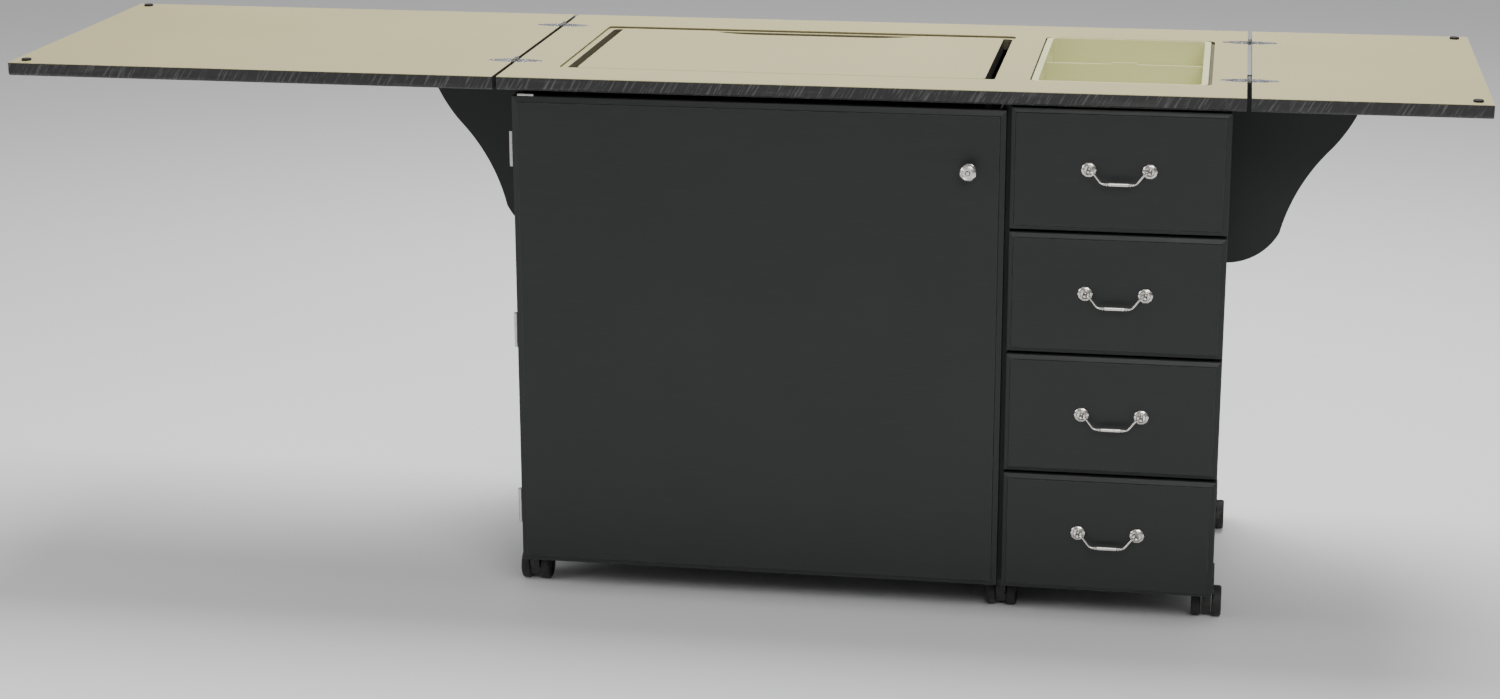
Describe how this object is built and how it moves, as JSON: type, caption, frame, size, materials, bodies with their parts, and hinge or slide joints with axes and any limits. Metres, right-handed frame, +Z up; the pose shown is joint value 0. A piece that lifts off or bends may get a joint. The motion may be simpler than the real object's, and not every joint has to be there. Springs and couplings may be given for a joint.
{
  "type": "sewing table",
  "caption": "Fold-out sewing cabinet on twin-wheel casters, with a sinking machine platform, a lift-out notions tray, two fold-over leaves on wing boards, a door and a column of drawers.",
  "frame": {"origin": "on the floor, under the middle of the open table's outline (left leaf's end to right leaf's end, knob's tip to the back edge of the top)", "axes": "+X to the right as seen from the front, +Y to the back, +Z up"},
  "size_m": [2.058, 0.54, 0.7664],
  "materials": {
    "black_panel": "satin black wood grain",
    "caster_plastic": "black nylon",
    "drawer_wood": "pale lacquered wood",
    "hardboard": "black hardboard",
    "hinge_steel": "nickel-plated steel",
    "laminate_top": "satin melamine",
    "lift_steel": "black powder coat",
    "nickel": "polished nickel",
    "plate_steel": "zinc-plated steel",
    "rubber_black": "black rubber",
    "runner_plastic": "dark plastic",
    "tray_plastic": "moulded cream plastic"
  },
  "bodies": {
    "root": {"left_side_panel": "black_panel", "right_side_panel": "black_panel", "divider_panel": "black_panel", "bottom_panel": "black_panel", "back_panel": "hardboard", "top_panel": "laminate_top", "leaf_hinge_fixed_plates": "hinge_steel", "butt_hinge_fixed_leaves": "hinge_steel", "door_catch": "runner_plastic", "drawer_runner_strips": "runner_plastic", "lift_wall_brackets": "lift_steel", "caster_plates": "plate_steel"},
    "left_leaf": {"left_leaf_panel": "laminate_top", "left_leaf_hinge_plates": "hinge_steel", "left_leaf_bumpers": "rubber_black"},
    "right_leaf": {"right_leaf_panel": "laminate_top", "right_leaf_hinge_plates": "hinge_steel", "right_leaf_bumpers": "rubber_black"},
    "left_support": {"left_support_wing": "black_panel", "left_support_hinge_leaves": "hinge_steel"},
    "right_support": {"right_support_wing": "black_panel", "right_support_hinge_leaves": "hinge_steel"},
    "door": {"door_panel": "black_panel", "door_knob": "nickel", "door_hinge_leaves": "hinge_steel", "door_catch_plate": "plate_steel"},
    "lift_upper_arms": {"lift_upper_arms": "lift_steel"},
    "lift_lower_arms": {"lift_lower_arms": "lift_steel"},
    "platform": {"lift_platform": "laminate_top", "lift_platform_brackets": "lift_steel"},
    "tray": {"notions_tray": "tray_plastic"},
    "drawer_1": {"drawer_1_front": "black_panel", "drawer_1_box": "drawer_wood", "drawer_1_handle_posts": "nickel"},
    "bail_1": {"drawer_1_bail": "nickel"},
    "drawer_2": {"drawer_2_front": "black_panel", "drawer_2_box": "drawer_wood", "drawer_2_handle_posts": "nickel"},
    "bail_2": {"drawer_2_bail": "nickel"},
    "drawer_3": {"drawer_3_front": "black_panel", "drawer_3_box": "drawer_wood", "drawer_3_handle_posts": "nickel"},
    "bail_3": {"drawer_3_bail": "nickel"},
    "drawer_4": {"drawer_4_front": "black_panel", "drawer_4_box": "drawer_wood", "drawer_4_handle_posts": "nickel"},
    "bail_4": {"drawer_4_bail": "nickel"},
    "caster_front_left": {"caster_front_left_body": "caster_plastic"},
    "caster_front_left_wheels": {"caster_front_left_wheels": "caster_plastic"},
    "caster_front_middle": {"caster_front_middle_body": "caster_plastic"},
    "caster_front_middle_wheels": {"caster_front_middle_wheels": "caster_plastic"},
    "caster_front_right": {"caster_front_right_body": "caster_plastic"},
    "caster_front_right_wheels": {"caster_front_right_wheels": "caster_plastic"},
    "caster_rear_left": {"caster_rear_left_body": "caster_plastic"},
    "caster_rear_left_wheels": {"caster_rear_left_wheels": "caster_plastic"},
    "caster_rear_middle": {"caster_rear_middle_body": "caster_plastic"},
    "caster_rear_middle_wheels": {"caster_rear_middle_wheels": "caster_plastic"},
    "caster_rear_right": {"caster_rear_right_body": "caster_plastic"},
    "caster_rear_right_wheels": {"caster_rear_right_wheels": "caster_plastic"}
  },
  "joints": [
    {"name": "left_leaf_fold", "type": "hinge", "parent": "root", "child": "left_leaf", "pos_m": [-0.31875, 0, 0.7636], "axis": [0, -1, 0], "range_deg": [-180, 0]},
    {"name": "right_leaf_fold", "type": "hinge", "parent": "root", "child": "right_leaf", "pos_m": [0.71175, 0, 0.7636], "axis": [0, 1, 0], "range_deg": [-180, 0]},
    {"name": "left_support_swing", "type": "hinge", "parent": "root", "child": "left_support", "pos_m": [-0.303, 0.0278, 0.742], "axis": [0, 0, -1], "range_deg": [0, 90]},
    {"name": "right_support_swing", "type": "hinge", "parent": "root", "child": "right_support", "pos_m": [0.696, 0.0278, 0.742], "axis": [0, 0, 1], "range_deg": [0, 90]},
    {"name": "door_swing", "type": "hinge", "parent": "root", "child": "door", "pos_m": [-0.3025, -0.22575, 0.3915], "axis": [0, 0, -1], "range_deg": [0, 170]},
    {"name": "drawer_1_slide", "type": "slide", "parent": "root", "child": "drawer_1", "axis": [0, -1, 0], "range_m": [0, 0.33]},
    {"name": "drawer_1_bail_swing", "type": "hinge", "parent": "drawer_1", "child": "bail_1", "pos_m": [0.5434, -0.259, 0.656], "axis": [-1, 0, 0], "range_deg": [0, 110]},
    {"name": "drawer_2_slide", "type": "slide", "parent": "root", "child": "drawer_2", "axis": [0, -1, 0], "range_m": [0, 0.33]},
    {"name": "drawer_2_bail_swing", "type": "hinge", "parent": "drawer_2", "child": "bail_2", "pos_m": [0.5434, -0.259, 0.48287], "axis": [-1, 0, 0], "range_deg": [0, 110]},
    {"name": "drawer_3_slide", "type": "slide", "parent": "root", "child": "drawer_3", "axis": [0, -1, 0], "range_m": [0, 0.33]},
    {"name": "drawer_3_bail_swing", "type": "hinge", "parent": "drawer_3", "child": "bail_3", "pos_m": [0.5434, -0.259, 0.30975], "axis": [-1, 0, 0], "range_deg": [0, 110]},
    {"name": "drawer_4_slide", "type": "slide", "parent": "root", "child": "drawer_4", "axis": [0, -1, 0], "range_m": [0, 0.33]},
    {"name": "drawer_4_bail_swing", "type": "hinge", "parent": "drawer_4", "child": "bail_4", "pos_m": [0.5434, -0.259, 0.13662], "axis": [-1, 0, 0], "range_deg": [0, 110]},
    {"name": "lift_lower", "type": "hinge", "parent": "root", "child": "lift_upper_arms", "pos_m": [0, 0.216, 0.69], "axis": [1, 0, 0], "range_deg": [0, 39]},
    {"name": "lift_lower_arms_turn", "type": "hinge", "parent": "root", "child": "lift_lower_arms", "pos_m": [0, 0.216, 0.63], "axis": [1, 0, 0], "range_deg": [0, 39]},
    {"name": "platform_level", "type": "hinge", "parent": "lift_upper_arms", "child": "platform", "pos_m": [0, -0.083, 0.69], "axis": [1, 0, 0], "range_deg": [-39, 0]},
    {"name": "tray_lift_out", "type": "slide", "parent": "root", "child": "tray", "axis": [0, 0, 1], "range_m": [0, 0.08]},
    {"name": "caster_front_left_swivel", "type": "hinge", "parent": "root", "child": "caster_front_left", "pos_m": [-0.2905, -0.194, 0.049], "axis": [0, 0, 1], "continuous": true},
    {"name": "caster_front_left_roll", "type": "hinge", "parent": "caster_front_left", "child": "caster_front_left_wheels", "pos_m": [-0.2905, -0.178, 0.022], "axis": [1, 0, 0], "continuous": true},
    {"name": "caster_front_middle_swivel", "type": "hinge", "parent": "root", "child": "caster_front_middle", "pos_m": [0.393, -0.194, 0.049], "axis": [0, 0, 1], "continuous": true},
    {"name": "caster_front_middle_roll", "type": "hinge", "parent": "caster_front_middle", "child": "caster_front_middle_wheels", "pos_m": [0.393, -0.178, 0.022], "axis": [1, 0, 0], "continuous": true},
    {"name": "caster_front_right_swivel", "type": "hinge", "parent": "root", "child": "caster_front_right", "pos_m": [0.6835, -0.194, 0.049], "axis": [0, 0, 1], "continuous": true},
    {"name": "caster_front_right_roll", "type": "hinge", "parent": "caster_front_right", "child": "caster_front_right_wheels", "pos_m": [0.6835, -0.178, 0.022], "axis": [1, 0, 0], "continuous": true},
    {"name": "caster_rear_left_swivel", "type": "hinge", "parent": "root", "child": "caster_rear_left", "pos_m": [-0.2905, 0.183, 0.049], "axis": [0, 0, 1], "continuous": true},
    {"name": "caster_rear_left_roll", "type": "hinge", "parent": "caster_rear_left", "child": "caster_rear_left_wheels", "pos_m": [-0.2905, 0.199, 0.022], "axis": [1, 0, 0], "continuous": true},
    {"name": "caster_rear_middle_swivel", "type": "hinge", "parent": "root", "child": "caster_rear_middle", "pos_m": [0.393, 0.183, 0.049], "axis": [0, 0, 1], "continuous": true},
    {"name": "caster_rear_middle_roll", "type": "hinge", "parent": "caster_rear_middle", "child": "caster_rear_middle_wheels", "pos_m": [0.393, 0.199, 0.022], "axis": [1, 0, 0], "continuous": true},
    {"name": "caster_rear_right_swivel", "type": "hinge", "parent": "root", "child": "caster_rear_right", "pos_m": [0.6835, 0.183, 0.049], "axis": [0, 0, 1], "continuous": true},
    {"name": "caster_rear_right_roll", "type": "hinge", "parent": "caster_rear_right", "child": "caster_rear_right_wheels", "pos_m": [0.6835, 0.199, 0.022], "axis": [1, 0, 0], "continuous": true}
  ],
  "couplings": [
    {"joint": "lift_lower_arms_turn", "follows": "lift_lower", "ratio": 1},
    {"joint": "platform_level", "follows": "lift_lower", "ratio": -1}
  ]
}
